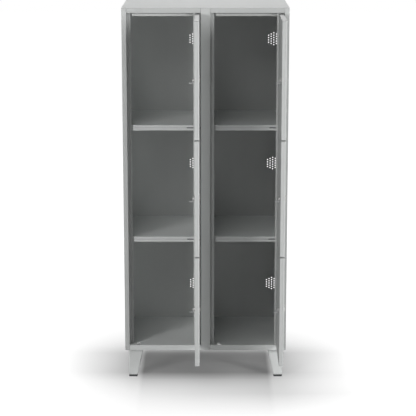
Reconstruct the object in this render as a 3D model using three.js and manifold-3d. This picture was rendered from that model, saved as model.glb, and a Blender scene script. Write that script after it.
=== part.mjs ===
// Compartment locker: two columns of three compartments, six doors standing open, four sheet feet.
// Millimetres, +Z up, +X to the viewer's right, the doors open towards -Y.
import * as THREE from "three";
import { mergeVertices } from "three/addons/utils/BufferGeometryUtils.js";
import Module from "manifold-3d";

const wasm = await Module();
wasm.setup();

// Cabinet
const COLUMN_NAMES = ["left", "right"];
const TIER_NAMES = ["bottom", "middle", "top"];
const COLUMN_WIDTH = 400;
const CABINET_HEIGHT = 1850;
const CABINET_DEPTH = 500;
const FOOT_ROOM = 150;
const SHEET = 0.8;
const SEAM = 0.3;
const BEND_RADIUS = 1.6;
const BEND_STEPS = 3;
const CUT_OVERRUN = 1;
const GRID = 0.01;

// Front frame
const STILE_FACE = 23;
const FASCIA = 24;
const BOTTOM_RAIL = 26;
const STOP_DEPTH = 25.4;
const LOCK_STOP = 19;
const HINGE_STOP = 35;
const TOP_STOP = 17;
const STOP_END_GAP = 7;
const OUTER_RETURN = 30;
const LAP = 18;
const LAP_SLOPE = 2;
const RAIL_LIP = 15;
const COVER_FLANGE = 18;
const PARTITION_FLANGE = 14;
const STOP_TAB_WIDTH = 16;
const STOP_TAB_HEIGHT = 5.5;
const STOP_TAB_THICKNESS = 1.2;
const STOP_TAB_FROM_DOOR = 0.6;
const STOP_TAB_INSET = 67;
const STOP_TAB_SLOT = 15;
const TOP_SLOT_WIDTH = 21;
const TOP_SLOT_HEIGHT = 4;
const TOP_SLOT_UP = 8.5;
const TOP_SLOT_INSET = 10.7;

// Shelves
const SHELF_RAIL = 26;
const SHELF_LIP = 12;
const SHELF_SIDE_FLANGE = 15;
const LOWEST_TIER_LOSS = 18;
const HIGHEST_TIER_LOSS = 1.5;
const RAIL_TO_STOP = 0.4;
const HINGE_SLOT_LENGTH = 65;
const HINGE_SLOT_CLEARANCE = 1;

// Back panel and its vent holes
const BACK_INSET = 17.2;
const BACK_FLANGE = 17;
const VENT_RADIUS = 3.4;
const VENT_SIDES = 8;
const VENT_ROW_PITCH = 12;
const VENT_COLUMN_PITCH = 13.3;
const VENT_COUNTS = [4, 5, 6, 5, 4];
const VENT_FROM_HINGE_SIDE = 52.4;
const VENT_TOP_DROP = 199;
const VENT_LOWEST = 361;

// Feet
const FOOT_SIDE_INSET = 14;
const FOOT_END_INSET = 34;
const FOOT_TOP_WIDTH = 77;
const FOOT_BOTTOM_WIDTH = 46;
const FOOT_LENGTH = 45;
const FOOT_WALL = 2;
const FOOT_FOLD_RADIUS = 6;
const FOOT_FOLD_STEPS = 3;
const FOOT_CORNER_RADIUS = 8;
const GLIDE_HEIGHT = 8;
const GLIDE_INSET = 2;
const GLIDE_CORNER = 4;
const CORNER_STEPS = 3;

// Doors
const DOOR_SHEET = 1;
const DOOR_DEPTH = 22;
const DOOR_EDGE_STRIP = 7;
const DOOR_EDGE_RADIUS = 1.5;
const DOOR_FREE_GAP = 2;
const DOOR_HINGE_GAP = 4;
const DOOR_GAP = 5;
const DOOR_TOP_GAP = 5.5;
const DOOR_BOTTOM_GAP = 4;
const DOOR_OPEN_ANGLE = Math.PI / 2;
const PIVOT_FROM_EDGE = 7;
const PIVOT_DEPTH = 6;

// Hinge plates
const HINGE_PLATE_THICKNESS = 3;
const HINGE_PLATE_INNER = 13;
const HINGE_PLATE_OUTER = 8;
const HINGE_PLATE_FRONT = 5;
const HINGE_PLATE_CORNER = 4;
const HINGE_PLATE_REACH = 40;
const LEDGE_PLATE_REACH = 24;
const HINGE_PIN_RADIUS = 3;
const HINGE_PIN_ENGAGEMENT = 9;
const HINGE_PIN_CLEARANCE = 0.3;
const PIN_SIDES = 12;

// Locks
const LOCK_HEIGHT = 275;
const LOCK_FROM_FREE_EDGE = 27;
const ROSETTE_RADIUS = 18.5;
const ROSETTE_THICKNESS = 3.5;
const ROSETTE_CHAMFER = 3;
const ROSETTE_CHAMFER_DEPTH = 2;
const BARREL_RADIUS = 9.5;
const BARREL_REAR = 5.7;
const LOCK_NUT_RADIUS = 11;
const LOCK_NUT_THICKNESS = 2.6;
const CORE_RADIUS = 6;
const CORE_PROUD = 0.6;
const CORE_STUB_RADIUS = 3.5;
const CORE_STUB_PAST_CAM = 2.2;
const KEY_SLOT_LENGTH = 7;
const KEY_SLOT_WIDTH = 1.4;
const KEY_SLOT_DEPTH = 3;
const CAM_THICKNESS = 3;
const CAM_WIDTH = 12;
const CAM_REACH = 14.5;
const CAM_TONGUE = 26;
const LOCK_SIDES = 16;

// Powder-coated steel, dark plastic, zinc-plated and nickel-plated steel
const SHELL_COLOUR = 0xc5c8c5;
const LINER_COLOUR = 0xbcbfbc;
const GLIDE_COLOUR = 0x3a3c3d;
const HINGE_COLOUR = 0x737475;
const ZINC_COLOUR = 0xa2a3a4;
const NICKEL_COLOUR = 0xaeaeac;

// Places that follow from the sizes above
const WIDTH = COLUMN_WIDTH * COLUMN_NAMES.length;
const TIERS = TIER_NAMES.length;
const BODY_BOTTOM = FOOT_ROOM;
const FLOOR_TOP = BODY_BOTTOM + BOTTOM_RAIL;
const OPENING_TOP = CABINET_HEIGHT - FASCIA;
const WALL_TOP = CABINET_HEIGHT - SHEET - SEAM;
const WALL_HEIGHTS = [BODY_BOTTOM, WALL_TOP];
const DOORS_TOP = OPENING_TOP - DOOR_TOP_GAP;
const TIER_START = FLOOR_TOP - LOWEST_TIER_LOSS;
const TIER_PITCH = (OPENING_TOP - HIGHEST_TIER_LOSS - TIER_START) / TIERS;
const STOP_BACK = STOP_DEPTH + SHEET;
const RAIL_FACE = STOP_DEPTH - RAIL_TO_STOP - SHEET;
const BACK_FACE = CABINET_DEPTH - BACK_INSET - SHEET;
const VENT_PATTERN_PITCH = (CABINET_HEIGHT - VENT_TOP_DROP - VENT_LOWEST) / (TIERS - 1);
const DOOR_WIDTH = COLUMN_WIDTH - 2 * STILE_FACE - DOOR_FREE_GAP - DOOR_HINGE_GAP;
const PIVOT_X = COLUMN_WIDTH - STILE_FACE - DOOR_HINGE_GAP - PIVOT_FROM_EDGE;
const DOOR_REACH = DOOR_WIDTH - PIVOT_FROM_EDGE - PIVOT_DEPTH;
const FRONT_Y = -(CABINET_DEPTH - DOOR_REACH) / 2;
const HINGE_SLOT_HEIGHT = HINGE_PLATE_THICKNESS + 2 * HINGE_SLOT_CLEARANCE;
const RAIL_START = STILE_FACE + LOCK_STOP + STOP_END_GAP;
const STOP_EDGE_X = COLUMN_WIDTH - STILE_FACE - HINGE_STOP;
const LAP_END = OUTER_RETURN + SEAM + SHEET + LAP_SLOPE + SEAM;
const WALL_INNER = SHEET + SEAM;
const SHEET_REAR = BACK_FACE - SEAM;

const gapCentre = (tier) => TIER_START + tier * TIER_PITCH;
const columnLeft = (column) => -WIDTH / 2 + column * COLUMN_WIDTH;
const doorBottom = (tier) => (tier === 0 ? FLOOR_TOP + DOOR_BOTTOM_GAP : gapCentre(tier) + DOOR_GAP / 2);
const doorTop = (tier) => (tier === TIERS - 1 ? DOORS_TOP : gapCentre(tier + 1) - DOOR_GAP / 2);

function finish(colour, roughness, metalness) {
  return new THREE.MeshStandardMaterial({ color: colour, roughness, metalness, flatShading: true });
}

const shellPaint = () => finish(SHELL_COLOUR, 0.5, 0);
const linerPaint = () => finish(LINER_COLOUR, 0.55, 0);
const glidePlastic = () => finish(GLIDE_COLOUR, 0.7, 0);
const hingeSteel = () => finish(HINGE_COLOUR, 0.5, 1);
const zincPlate = () => finish(ZINC_COLOUR, 0.45, 1);
const nickelPlate = () => finish(NICKEL_COLOUR, 0.3, 1);

// Corners set on one fine grid and shared, without the triangles that this closes up
function onGrid(positions, index) {
  const snapped = Array.from(positions, (value) => Math.round(value / GRID) * GRID);
  const loose = new THREE.BufferGeometry();
  loose.setAttribute("position", new THREE.Float32BufferAttribute(snapped, 3));
  if (index) loose.setIndex(Array.from(index));
  const merged = mergeVertices(loose, GRID / 2);
  const kept = [];
  for (let i = 0; i < merged.index.count; i += 3) {
    const [a, b, c] = merged.index.array.slice(i, i + 3);
    if (a !== b && b !== c && c !== a) kept.push(a, b, c);
  }
  merged.setIndex(kept);
  return merged;
}

// A closed geometry as a solid for joining and cutting
function solidOf(geometry) {
  const clean = onGrid(geometry.getAttribute("position").array, geometry.index?.array);
  return new wasm.Manifold(
    new wasm.Mesh({
      numProp: 3,
      vertProperties: clean.attributes.position.array,
      triVerts: new Uint32Array(clean.index.array),
    }),
  );
}

function geometryOf(solid) {
  const mesh = solid.getMesh();
  return onGrid(mesh.vertProperties, mesh.triVerts);
}

function block([x0, x1], [y0, y1], [z0, z1]) {
  const geometry = new THREE.BoxGeometry(x1 - x0, y1 - y0, z1 - z0);
  geometry.translate((x0 + x1) / 2, (y0 + y1) / 2, (z0 + z1) / 2);
  return solidOf(geometry);
}

const join = (solids) => solids.reduce((whole, piece) => whole.add(piece));
const cut = (solid, tools) => tools.reduce((whole, tool) => whole.subtract(tool), solid);

// An outline in plan, drawn up from one height to another
function upright(shape, [z0, z1]) {
  const geometry = new THREE.ExtrudeGeometry(shape, { depth: z1 - z0, bevelEnabled: false });
  geometry.translate(0, 0, z0);
  return solidOf(geometry);
}

// An outline in the front view, drawn back from one depth to another
function backwards(shape, [y0, y1]) {
  const geometry = new THREE.ExtrudeGeometry(shape, { depth: y1 - y0, bevelEnabled: false });
  geometry.rotateX(Math.PI / 2);
  geometry.translate(0, y1, 0);
  return solidOf(geometry);
}

function pinUp(x, y, [z0, z1], radius) {
  const geometry = new THREE.CylinderGeometry(radius, radius, z1 - z0, PIN_SIDES);
  geometry.rotateX(Math.PI / 2);
  geometry.translate(x, y, (z0 + z1) / 2);
  return solidOf(geometry);
}

function pinBack(x, z, [y0, y1], radius, sides) {
  const geometry = new THREE.CylinderGeometry(radius, radius, y1 - y0, sides);
  geometry.translate(x, (y0 + y1) / 2, z);
  return solidOf(geometry);
}

// The centreline of a folded sheet, with each corner rounded by the bend radius
function bentPath(corners) {
  const path = [corners[0]];
  for (let i = 1; i < corners.length - 1; i++) {
    const [before, corner, after] = corners.slice(i - 1, i + 2).map(([x, y]) => new THREE.Vector2(x, y));
    const back = before.clone().sub(corner).normalize();
    const ahead = after.clone().sub(corner).normalize();
    const half = Math.acos(THREE.MathUtils.clamp(back.dot(ahead), -1, 1)) / 2;
    const run = Math.min(
      BEND_RADIUS / Math.tan(half),
      before.distanceTo(corner) / 2,
      after.distanceTo(corner) / 2,
    );
    const curve = new THREE.QuadraticBezierCurve(
      corner.clone().addScaledVector(back, run),
      corner,
      corner.clone().addScaledVector(ahead, run),
    );
    curve.getPoints(BEND_STEPS).forEach((point) => path.push([point.x, point.y]));
  }
  path.push(corners[corners.length - 1]);
  return path.map(([x, y]) => new THREE.Vector2(x, y));
}

// A sheet folded along the corners given, as an outline one sheet thick
function foldedOutline(corners, thickness) {
  const path = bentPath(corners);
  const side = (distance) =>
    path.map((point, i) => {
      const into = point.clone().sub(path[Math.max(i - 1, 0)]).normalize();
      const out = path[Math.min(i + 1, path.length - 1)].clone().sub(point).normalize();
      const along = into.clone().add(out).normalize();
      const normal = new THREE.Vector2(-along.y, along.x);
      const stretch = i > 0 && i < path.length - 1 ? 1 / along.dot(out) : 1;
      return point.clone().addScaledVector(normal, distance * stretch);
    });
  return new THREE.Shape([...side(thickness / 2), ...side(-thickness / 2).reverse()]);
}

const parts = new THREE.Group();
parts.position.y = FRONT_Y;

function addPart(parent, name, solid, material) {
  const mesh = new THREE.Mesh(geometryOf(solid), material);
  mesh.name = name;
  parent.add(mesh);
}

// Side panels: one sheet each, stepped inwards at the front to lap behind the post
function addSidePanel(name, side) {
  const face = side * (WIDTH / 2 - SHEET / 2);
  const lapped = face - side * (SHEET + SEAM);
  const seamY = OUTER_RETURN + SEAM + SHEET;
  const corners = [
    [lapped, OUTER_RETURN - LAP],
    [lapped, seamY],
    [face, seamY + LAP_SLOPE],
    [face, CABINET_DEPTH],
  ];
  addPart(parts, name, upright(foldedOutline(corners, SHEET), WALL_HEIGHTS), shellPaint());
}

// The slot in a post's hinge-side stop that a hinge plate comes through
function hingeSlotThroughStop(column, centre) {
  const x = columnLeft(column) + PIVOT_X;
  return block(
    [x - HINGE_PLATE_INNER - HINGE_SLOT_CLEARANCE, x + HINGE_PLATE_OUTER + HINGE_SLOT_CLEARANCE],
    [STOP_DEPTH - CUT_OVERRUN, STOP_BACK + CUT_OVERRUN],
    [centre - HINGE_SLOT_HEIGHT / 2, centre + HINGE_SLOT_HEIGHT / 2],
  );
}

// Posts: face, side of the rebate and door stop, folded from one strip
function addPosts() {
  const face = SHEET / 2;
  const stop = STOP_DEPTH + SHEET / 2;
  const wallIn = STILE_FACE - SHEET / 2;
  const left = -WIDTH / 2;
  const right = WIDTH / 2;
  const middle = left + COLUMN_WIDTH;
  const profiles = {
    post_left: [
      [left + face, OUTER_RETURN],
      [left + face, face],
      [left + wallIn, face],
      [left + wallIn, stop],
      [left + STILE_FACE + LOCK_STOP, stop],
    ],
    post_centre: [
      [middle - STILE_FACE - HINGE_STOP, stop],
      [middle - wallIn, stop],
      [middle - wallIn, face],
      [middle + wallIn, face],
      [middle + wallIn, stop],
      [middle + STILE_FACE + LOCK_STOP, stop],
    ],
    post_right: [
      [right - STILE_FACE - HINGE_STOP, stop],
      [right - wallIn, stop],
      [right - wallIn, face],
      [right - face, face],
      [right - face, OUTER_RETURN],
    ],
  };
  const hingeColumns = { post_left: [], post_centre: [0], post_right: [1] };
  for (const [name, corners] of Object.entries(profiles)) {
    const post = upright(foldedOutline(corners, SHEET), WALL_HEIGHTS);
    const centres = [...Array(TIERS - 1).keys()].map((i) => gapCentre(i + 1));
    const slots = hingeColumns[name].flatMap((column) =>
      centres.map((centre) => hingeSlotThroughStop(column, centre)),
    );
    addPart(parts, name, cut(post, slots), shellPaint());
  }
}

// Top cover: the roof, turned down inside the walls, with a fascia and a top door stop over each column
function addTopCover() {
  const halfWidth = WIDTH / 2;
  const roof = block([-halfWidth, halfWidth], [0, CABINET_DEPTH], [CABINET_HEIGHT - SHEET, CABINET_HEIGHT]);
  const flanges = [-1, 1].map((side) => {
    const edges = [side * (halfWidth - WALL_INNER), side * (halfWidth - WALL_INNER - SHEET)];
    return block(
      [Math.min(...edges), Math.max(...edges)],
      [LAP_END, SHEET_REAR],
      [CABINET_HEIGHT - COVER_FLANGE, CABINET_HEIGHT],
    );
  });
  const stopBottom = OPENING_TOP - TOP_STOP;
  const fronts = COLUMN_NAMES.flatMap((_, column) => {
    const x = columnLeft(column);
    const across = [x + STILE_FACE + SEAM, x + COLUMN_WIDTH - STILE_FACE - SEAM];
    const alongStop = [x + RAIL_START, x + STOP_EDGE_X - SEAM];
    const slotEnd = alongStop[1] - TOP_SLOT_INSET;
    const slot = block(
      [slotEnd - TOP_SLOT_WIDTH, slotEnd],
      [STOP_DEPTH - CUT_OVERRUN, STOP_BACK + CUT_OVERRUN],
      [stopBottom + TOP_SLOT_UP, stopBottom + TOP_SLOT_UP + TOP_SLOT_HEIGHT],
    );
    return [
      block(across, [0, SHEET], [OPENING_TOP, CABINET_HEIGHT]),
      block(across, [0, STOP_DEPTH - SEAM], [OPENING_TOP, OPENING_TOP + SHEET]),
      block(alongStop, [0, STOP_BACK], [OPENING_TOP, OPENING_TOP + SHEET]),
      cut(block(alongStop, [STOP_DEPTH, STOP_BACK], [stopBottom, OPENING_TOP + SHEET]), [slot]),
    ];
  });
  addPart(parts, "top_cover", join([roof, ...flanges, ...fronts]), shellPaint());
}

// Bottom tray: the floor, notched round the posts, with a rail and a stop tab in front of each column,
// and the slot that each tab was bent up from
function addBottomTray() {
  const halfWidth = WIDTH / 2;
  const floorSheet = [FLOOR_TOP - SHEET, FLOOR_TOP];
  const behindStops = STOP_BACK + SEAM;
  const clearOfLap = halfWidth - WALL_INNER - SHEET - SEAM;
  const wide = halfWidth - WALL_INNER;
  const floor = [
    block([-clearOfLap, clearOfLap], [behindStops, SHEET_REAR], floorSheet),
    block([-wide, wide], [LAP_END, SHEET_REAR], floorSheet),
    block([-wide, wide], [SHEET_REAR - SHEET, SHEET_REAR], [BODY_BOTTOM, FLOOR_TOP]),
    block([-wide, SHEET - wide], [LAP_END, SHEET_REAR], [BODY_BOTTOM, FLOOR_TOP]),
    block([wide - SHEET, wide], [LAP_END, SHEET_REAR], [BODY_BOTTOM, FLOOR_TOP]),
  ];
  const fronts = COLUMN_NAMES.flatMap((_, column) => {
    const x = columnLeft(column);
    const across = [x + STILE_FACE + SEAM, x + COLUMN_WIDTH - STILE_FACE - SEAM];
    const betweenStops = [x + STILE_FACE + LOCK_STOP + SEAM, x + STOP_EDGE_X - SEAM];
    const tabX = x + STOP_TAB_INSET;
    const tabY = DOOR_DEPTH + STOP_TAB_FROM_DOOR;
    const slot = block(
      [tabX - STOP_TAB_WIDTH / 2, tabX + STOP_TAB_WIDTH / 2],
      [tabY - STOP_TAB_SLOT, tabY],
      [FLOOR_TOP - SHEET - CUT_OVERRUN, FLOOR_TOP + CUT_OVERRUN],
    );
    return [
      cut(block(across, [0, STOP_DEPTH - SEAM], floorSheet), [slot]),
      cut(block(betweenStops, [0, behindStops + SHEET], floorSheet), [slot]),
      block(across, [0, SHEET], [BODY_BOTTOM, FLOOR_TOP]),
      block(across, [0, RAIL_LIP], [BODY_BOTTOM, BODY_BOTTOM + SHEET]),
      block(
        [tabX - STOP_TAB_WIDTH / 2, tabX + STOP_TAB_WIDTH / 2],
        [tabY, tabY + STOP_TAB_THICKNESS],
        [FLOOR_TOP - SHEET, FLOOR_TOP + STOP_TAB_HEIGHT],
      ),
    ];
  });
  addPart(parts, "bottom_tray", join([...floor, ...fronts]), shellPaint());
}

function addPartition() {
  const faces = [columnLeft(1) - SHEET / 2, columnLeft(1) + SHEET / 2];
  const heights = [FLOOR_TOP + SEAM, WALL_TOP];
  const front = SHEET + SEAM;
  const sheet = block(faces, [front, SHEET_REAR], heights);
  const flange = block([faces[1] - PARTITION_FLANGE, faces[1]], [front, front + SHEET], heights);
  addPart(parts, "centre_partition", join([sheet, flange]), shellPaint());
}

// Back panel: a pan turned rearwards all round, with one field of staggered vent holes per compartment
function ventHoles(column, level) {
  const middle = (VENT_COUNTS.length - 1) / 2;
  const centreX = columnLeft(column) + COLUMN_WIDTH - VENT_FROM_HINGE_SIDE;
  const centreZ = CABINET_HEIGHT - VENT_TOP_DROP - level * VENT_PATTERN_PITCH;
  return VENT_COUNTS.flatMap((count, i) =>
    [...Array(count).keys()].map((j) =>
      pinBack(
        centreX + (i - middle) * VENT_COLUMN_PITCH,
        centreZ + (j - (count - 1) / 2) * VENT_ROW_PITCH,
        [BACK_FACE - CUT_OVERRUN, BACK_FACE + SHEET + CUT_OVERRUN],
        VENT_RADIUS,
        VENT_SIDES,
      ),
    ),
  );
}

function addBackPanel() {
  const edge = WIDTH / 2 - WALL_INNER;
  const [low, high] = WALL_HEIGHTS;
  const pan = cut(block([-edge, edge], [BACK_FACE, BACK_FACE + BACK_FLANGE], WALL_HEIGHTS), [
    block(
      [SHEET - edge, edge - SHEET],
      [BACK_FACE + SHEET, BACK_FACE + BACK_FLANGE + CUT_OVERRUN],
      [low + SHEET, high - SHEET],
    ),
  ]);
  const holes = COLUMN_NAMES.flatMap((_, column) => TIER_NAMES.flatMap((__, level) => ventHoles(column, level)));
  addPart(parts, "back_panel", cut(pan, [join(holes)]), shellPaint());
}

// Shelves: a floor notched round the door stops, with a front rail that carries the hinge slot
function addShelf(column, tier) {
  const x = columnLeft(column);
  const top = gapCentre(tier) + SHELF_RAIL / 2;
  const bottom = gapCentre(tier) - SHELF_RAIL / 2;
  const wallGap = column === 0 ? [WALL_INNER, SHEET / 2 + SEAM] : [SHEET / 2 + SEAM, WALL_INNER];
  const sides = [x + wallGap[0], x + COLUMN_WIDTH - wallGap[1]];
  const behindStops = STOP_BACK + SEAM;
  const clearOfLap = SHEET + SEAM;
  const front = [x + RAIL_START, x + STOP_EDGE_X - SEAM];
  const rear = SHEET_REAR;
  const floor = join([
    block([front[0], front[1]], [RAIL_FACE, rear], [top - SHEET, top]),
    block([sides[0] + clearOfLap, sides[1] - clearOfLap], [behindStops, rear], [top - SHEET, top]),
    block(sides, [LAP_END, rear], [top - SHEET, top]),
  ]);
  const rail = block(
    [front[0], x + COLUMN_WIDTH - STILE_FACE - SEAM],
    [RAIL_FACE, RAIL_FACE + SHEET],
    [bottom, top],
  );
  const lip = block(front, [RAIL_FACE, RAIL_FACE + SHELF_LIP], [bottom, bottom + SHEET]);
  const sideFlanges = [
    block([sides[0], sides[0] + SHEET], [LAP_END, rear], [top - SHELF_SIDE_FLANGE, top]),
    block([sides[1] - SHEET, sides[1]], [LAP_END, rear], [top - SHELF_SIDE_FLANGE, top]),
  ];
  const rearFlange = block(sides, [rear - SHEET, rear], [top - SHELF_SIDE_FLANGE, top]);
  const slotEnd = x + PIVOT_X + HINGE_PLATE_OUTER + HINGE_SLOT_CLEARANCE;
  const slot = block(
    [slotEnd - HINGE_SLOT_LENGTH, slotEnd],
    [RAIL_FACE - CUT_OVERRUN, RAIL_FACE + SHEET + CUT_OVERRUN],
    [gapCentre(tier) - HINGE_SLOT_HEIGHT / 2, gapCentre(tier) + HINGE_SLOT_HEIGHT / 2],
  );
  const solid = cut(join([floor, rail, lip, ...sideFlanges, rearFlange]), [slot]);
  const level = tier === 1 ? "lower" : "upper";
  addPart(parts, `shelf_${COLUMN_NAMES[column]}_${level}`, solid, shellPaint());
}

// Feet: tapered boxes of folded sheet under the floor, open towards the middle of the cabinet. An inset of
// zero gives the outer outline, and one wall gives the hollow inside it
function footOutline(side, inset) {
  const lowest = GLIDE_HEIGHT + SEAM;
  const outer = WIDTH / 2 - FOOT_SIDE_INSET - inset;
  const slope = (FOOT_TOP_WIDTH - FOOT_BOTTOM_WIDTH) / (BODY_BOTTOM - lowest);
  const slantedInset = inset * Math.hypot(1, slope);
  const innerAt = (z) => WIDTH / 2 - FOOT_SIDE_INSET - FOOT_BOTTOM_WIDTH + slantedInset - slope * (z - lowest);
  const bottom = lowest + inset;
  const radius = FOOT_CORNER_RADIUS - inset;
  const outline = new THREE.Shape();
  outline.moveTo(side * innerAt(BODY_BOTTOM), FLOOR_TOP);
  outline.lineTo(side * innerAt(BODY_BOTTOM), BODY_BOTTOM);
  outline.lineTo(side * innerAt(bottom + radius), bottom + radius);
  outline.quadraticCurveTo(side * innerAt(bottom), bottom, side * (innerAt(bottom) + radius), bottom);
  outline.lineTo(side * (outer - radius), bottom);
  outline.quadraticCurveTo(side * outer, bottom, side * outer, bottom + radius);
  outline.lineTo(side * outer, FLOOR_TOP);
  return new THREE.Shape(outline.getPoints(CORNER_STEPS));
}

// A foot's outline drawn back from its front face, with the edge round that face folded over
function foldedBox(outline, length, radius) {
  const geometry = new THREE.ExtrudeGeometry(outline, {
    depth: length,
    bevelThickness: radius,
    bevelSize: radius,
    bevelOffset: -radius,
    bevelSegments: FOOT_FOLD_STEPS,
  });
  geometry.rotateX(Math.PI / 2);
  geometry.translate(0, length + radius, 0);
  return solidOf(geometry);
}

function addFoot(name, side, atFront) {
  const across = [-WIDTH / 2, WIDTH / 2];
  const aboveFoot = [FLOOR_TOP - SHEET - SEAM, FLOOR_TOP + FOOT_FOLD_RADIUS + CUT_OVERRUN];
  const outside = foldedBox(footOutline(side, 0), FOOT_LENGTH + CUT_OVERRUN, FOOT_FOLD_RADIUS);
  const inside = foldedBox(
    footOutline(side, FOOT_WALL),
    FOOT_LENGTH + FOOT_FOLD_RADIUS,
    FOOT_FOLD_RADIUS - FOOT_WALL,
  ).translate([0, FOOT_WALL, 0]);
  const behind = block(across, [FOOT_LENGTH, 2 * FOOT_LENGTH], [0, aboveFoot[1]]);
  const top = block(across, [-CUT_OVERRUN, 2 * FOOT_LENGTH], aboveFoot);
  const foot = cut(outside, [inside, behind, top]);
  const ends = atFront
    ? [FOOT_END_INSET, FOOT_END_INSET + FOOT_LENGTH]
    : [CABINET_DEPTH - FOOT_END_INSET - FOOT_LENGTH, CABINET_DEPTH - FOOT_END_INSET];
  const placed = atFront
    ? foot.translate([0, ends[0], 0])
    : foot.mirror([0, 1, 0]).translate([0, ends[1], 0]);
  addPart(parts, `foot_${name}`, placed, shellPaint());
  const outer = WIDTH / 2 - FOOT_SIDE_INSET;
  addGlide(name, side, [outer - FOOT_BOTTOM_WIDTH + GLIDE_INSET, outer - GLIDE_INSET], ends);
}

function roundedRectangle([x0, x1], [y0, y1], radius) {
  const shape = new THREE.Shape();
  shape.moveTo(x0 + radius, y0);
  shape.absarc(x1 - radius, y0 + radius, radius, -Math.PI / 2, 0);
  shape.absarc(x1 - radius, y1 - radius, radius, 0, Math.PI / 2);
  shape.absarc(x0 + radius, y1 - radius, radius, Math.PI / 2, Math.PI);
  shape.absarc(x0 + radius, y0 + radius, radius, Math.PI, (3 * Math.PI) / 2);
  return new THREE.Shape(shape.getPoints(CORNER_STEPS));
}

function addGlide(name, side, [inner, outer], [y0, y1]) {
  const across = side < 0 ? [-outer, -inner] : [inner, outer];
  const outline = roundedRectangle(across, [y0 + GLIDE_INSET, y1 - GLIDE_INSET], GLIDE_CORNER);
  addPart(parts, `glide_${name}`, upright(outline, [0, GLIDE_HEIGHT]), glidePlastic());
}

// Hinge plates: a flat plate in the gap above or below each door, with its pins
function addHingePlate(column, level) {
  const x = columnLeft(column) + PIVOT_X;
  const y = PIVOT_DEPTH;
  const isBottom = level === 0;
  const isTop = level === TIERS;
  let centre = gapCentre(level);
  if (isBottom) centre = FLOOR_TOP + SEAM + HINGE_PLATE_THICKNESS / 2;
  if (isTop) centre = OPENING_TOP - SEAM - HINGE_PLATE_THICKNESS / 2;
  const reach = isBottom || isTop ? LEDGE_PLATE_REACH : HINGE_PLATE_REACH;
  const faces = [centre - HINGE_PLATE_THICKNESS / 2, centre + HINGE_PLATE_THICKNESS / 2];
  const across = [x - HINGE_PLATE_INNER, x + HINGE_PLATE_OUTER];
  const outline = roundedRectangle(across, [y - HINGE_PLATE_FRONT, reach], HINGE_PLATE_CORNER);
  const solids = [upright(outline, faces)];
  if (!isTop) {
    solids.push(pinUp(x, y, [faces[0], doorBottom(level) + HINGE_PIN_ENGAGEMENT], HINGE_PIN_RADIUS));
  }
  if (!isBottom) {
    solids.push(pinUp(x, y, [doorTop(level - 1) - HINGE_PIN_ENGAGEMENT, faces[1]], HINGE_PIN_RADIUS));
  }
  addPart(parts, `hinge_plate_${COLUMN_NAMES[column]}_${level + 1}`, join(solids), hingeSteel());
}

// Door: drawn closed round its own hinge axis, from its bottom edge up
const DOOR_X = [PIVOT_FROM_EDGE - DOOR_WIDTH, PIVOT_FROM_EDGE];
const DOOR_Y = [-PIVOT_DEPTH, DOOR_DEPTH - PIVOT_DEPTH];
const LOCK_X = DOOR_X[0] + LOCK_FROM_FREE_EDGE;

function doorPan(height) {
  const outline = new THREE.Shape();
  outline.moveTo(DOOR_X[1], DOOR_Y[1]);
  outline.lineTo(DOOR_X[0], DOOR_Y[1]);
  outline.absarc(
    DOOR_X[0] + DOOR_EDGE_RADIUS,
    DOOR_Y[0] + DOOR_EDGE_RADIUS,
    DOOR_EDGE_RADIUS,
    Math.PI,
    (3 * Math.PI) / 2,
  );
  outline.absarc(
    DOOR_X[1] - DOOR_EDGE_RADIUS,
    DOOR_Y[0] + DOOR_EDGE_RADIUS,
    DOOR_EDGE_RADIUS,
    (3 * Math.PI) / 2,
    2 * Math.PI,
  );
  const body = upright(new THREE.Shape(outline.getPoints(CORNER_STEPS)), [0, height]);
  const inside = block(
    [DOOR_X[0] + DOOR_SHEET, DOOR_X[1] - DOOR_SHEET],
    [DOOR_Y[0] + DOOR_SHEET, DOOR_Y[1] + CUT_OVERRUN],
    [DOOR_SHEET, height - DOOR_SHEET],
  );
  const linerEdge = block(
    [DOOR_X[0] - CUT_OVERRUN, DOOR_X[0] + DOOR_SHEET + CUT_OVERRUN],
    [DOOR_Y[0] + DOOR_EDGE_STRIP, DOOR_Y[1] + CUT_OVERRUN],
    [DOOR_SHEET, height - DOOR_SHEET],
  );
  const hole = HINGE_PIN_RADIUS + HINGE_PIN_CLEARANCE;
  const pinHoles = [
    pinUp(0, 0, [-CUT_OVERRUN, DOOR_SHEET + CUT_OVERRUN], hole),
    pinUp(0, 0, [height - DOOR_SHEET - CUT_OVERRUN, height + CUT_OVERRUN], hole),
  ];
  const lockHole = pinBack(
    LOCK_X,
    LOCK_HEIGHT,
    [DOOR_Y[0] - CUT_OVERRUN, DOOR_Y[0] + DOOR_SHEET + CUT_OVERRUN],
    BARREL_RADIUS + SEAM,
    LOCK_SIDES,
  );
  return cut(body, [inside, linerEdge, ...pinHoles, lockHole]);
}

function doorLiner(height) {
  const heights = [DOOR_SHEET + SEAM, height - DOOR_SHEET - SEAM];
  const skin = block(
    [DOOR_X[0], DOOR_X[1] - DOOR_SHEET - SEAM],
    [DOOR_Y[1] - SHEET, DOOR_Y[1]],
    heights,
  );
  const edge = block(
    [DOOR_X[0], DOOR_X[0] + SHEET],
    [DOOR_Y[0] + DOOR_EDGE_STRIP + SEAM, DOOR_Y[1]],
    heights,
  );
  const lockHole = pinBack(
    LOCK_X,
    LOCK_HEIGHT,
    [DOOR_Y[1] - SHEET - CUT_OVERRUN, DOOR_Y[1] + CUT_OVERRUN],
    BARREL_RADIUS + SEAM,
    LOCK_SIDES,
  );
  return cut(join([skin, edge]), [lockHole]);
}

// A turned piece whose axis runs back through the door at the lock
function turned(profile) {
  const points = [...profile, profile[0]].map(([radius, y]) => new THREE.Vector2(radius, y));
  const geometry = new THREE.LatheGeometry(points, LOCK_SIDES);
  geometry.translate(LOCK_X, 0, LOCK_HEIGHT);
  return solidOf(geometry);
}

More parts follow.
